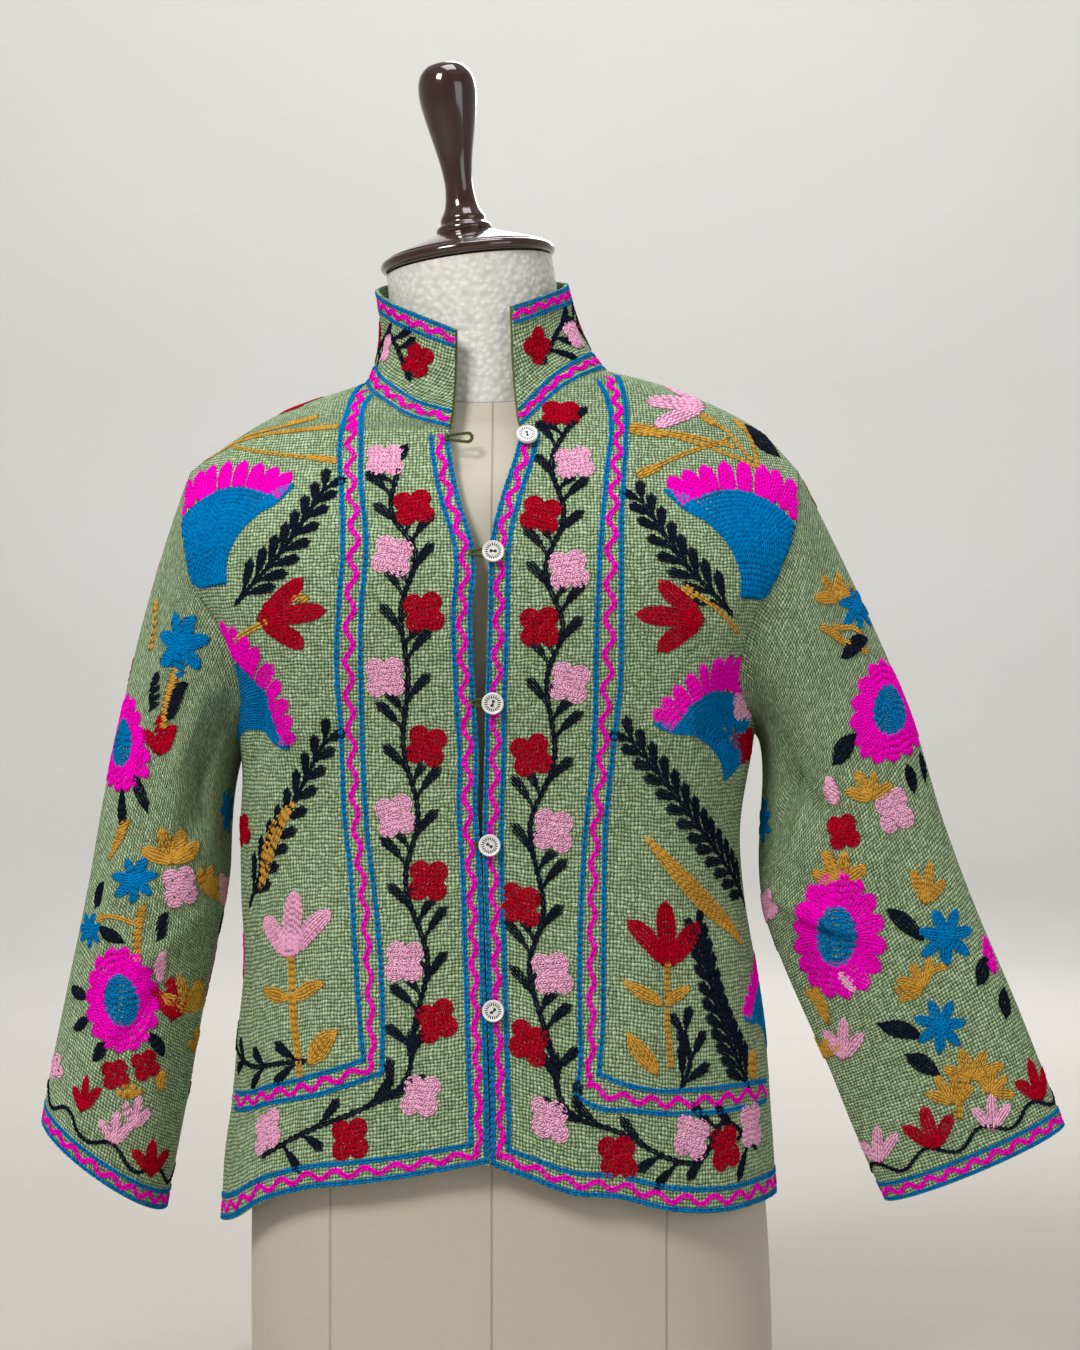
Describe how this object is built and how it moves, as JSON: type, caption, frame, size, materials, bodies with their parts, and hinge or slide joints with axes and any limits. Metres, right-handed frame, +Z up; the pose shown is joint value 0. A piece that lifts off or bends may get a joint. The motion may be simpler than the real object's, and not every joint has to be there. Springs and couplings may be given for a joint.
{
  "type": "embroidered stand-collar jacket on a limbless dress form",
  "caption": "Open-necked embroidered wool jacket with a stand collar and wide sleeves, worn by a limbless dress form with a wooden cap and knob.",
  "frame": {"origin": "centre of the bounding box on the plane that the dress form stands on", "axes": "+Z up, the garment's front faces -Y, +X is on the right as it is seen from the front"},
  "size_m": [0.7102, 0.2644, 0.9629],
  "materials": {
    "jacket_cloth": "coarse sage-green basket weave",
    "facing": "plain olive cotton",
    "button": "white with an engraved ring of dark petals",
    "loop_cord": "twisted olive cord",
    "form_cover": "smooth cream cotton",
    "neck_cover": "off-white pebbled cover",
    "dark_wood": "polished dark red-brown wood",
    "yarn_blue": "wool chain stitch",
    "yarn_hot_pink": "wool chain stitch",
    "yarn_light_pink": "wool chain stitch",
    "yarn_red": "wool chain stitch",
    "yarn_black": "wool chain stitch",
    "yarn_mustard": "wool chain stitch"
  },
  "bodies": {
    "root": {"front_left": "jacket_cloth", "front_right": "jacket_cloth", "back": "jacket_cloth", "sleeve_left": "jacket_cloth", "sleeve_right": "jacket_cloth", "collar": "jacket_cloth", "collar_facing_left": "facing", "collar_facing_right": "facing", "slit_facing_left": "facing", "slit_facing_right": "facing", "button_1": "button", "button_2": "button", "button_3": "button", "button_4": "button", "button_5": "button", "loop_1": "loop_cord", "loop_2": "loop_cord", "loop_3": "loop_cord", "loop_4": "loop_cord", "loop_5": "loop_cord", "form_torso": "form_cover", "form_neck": "neck_cover", "form_cap": "dark_wood", "form_knob": "dark_wood"}
  },
  "joints": []
}
